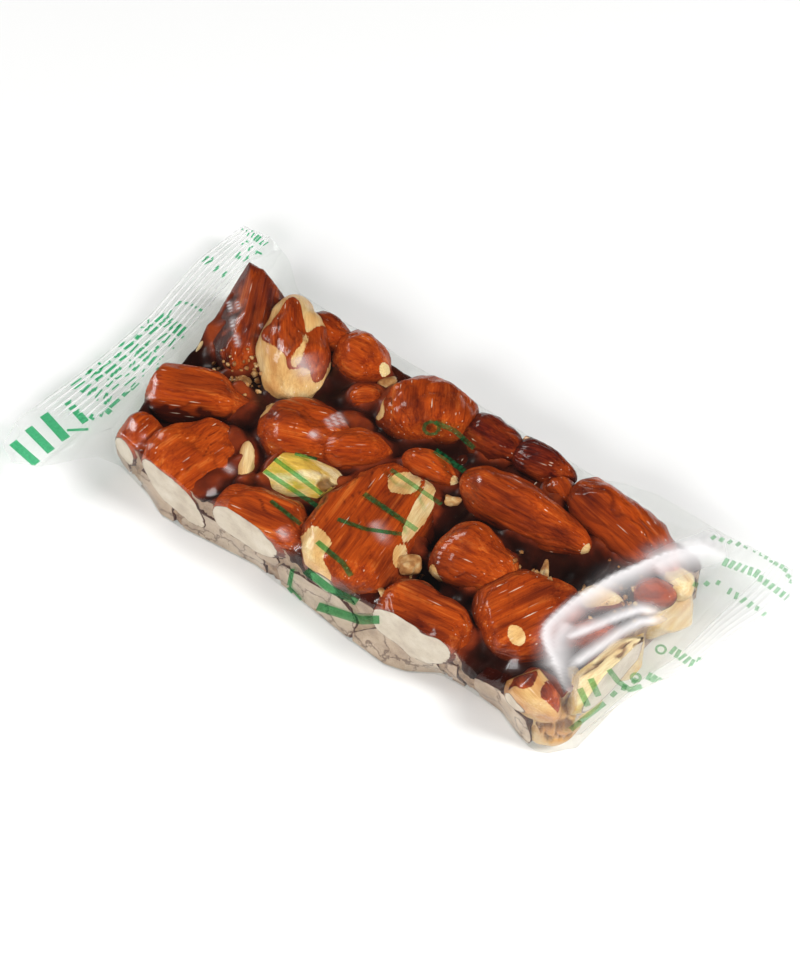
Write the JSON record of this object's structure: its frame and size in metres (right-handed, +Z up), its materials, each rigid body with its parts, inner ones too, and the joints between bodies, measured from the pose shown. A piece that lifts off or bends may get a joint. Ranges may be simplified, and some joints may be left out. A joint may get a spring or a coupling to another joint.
{
  "type": "wrapped nut brittle bar",
  "caption": "Flat bar of whole and cut almonds bound in caramel, knife-cut along the front, sealed in a clear flow-wrap bag with a crimped fin at each end.",
  "frame": {"origin": "middle of the bar's flat base", "axes": "+X along the bar towards the end where the loose film shows its folds, +Y from the knife-cut front to the back, +Z up out of the nuts"},
  "size_m": [0.1166, 0.0608, 0.0154],
  "materials": {
    "nut_brittle": "glossy caramel glaze over ridged brown almond skins, with matte cream cut faces",
    "clear_film": "thin clear glossy wrapping film with green print and crimped seals"
  },
  "bodies": {
    "root": {"brittle_bar": "nut_brittle", "wrapper_end_left": "clear_film", "wrapper_end_right": "clear_film"}
  },
  "joints": []
}
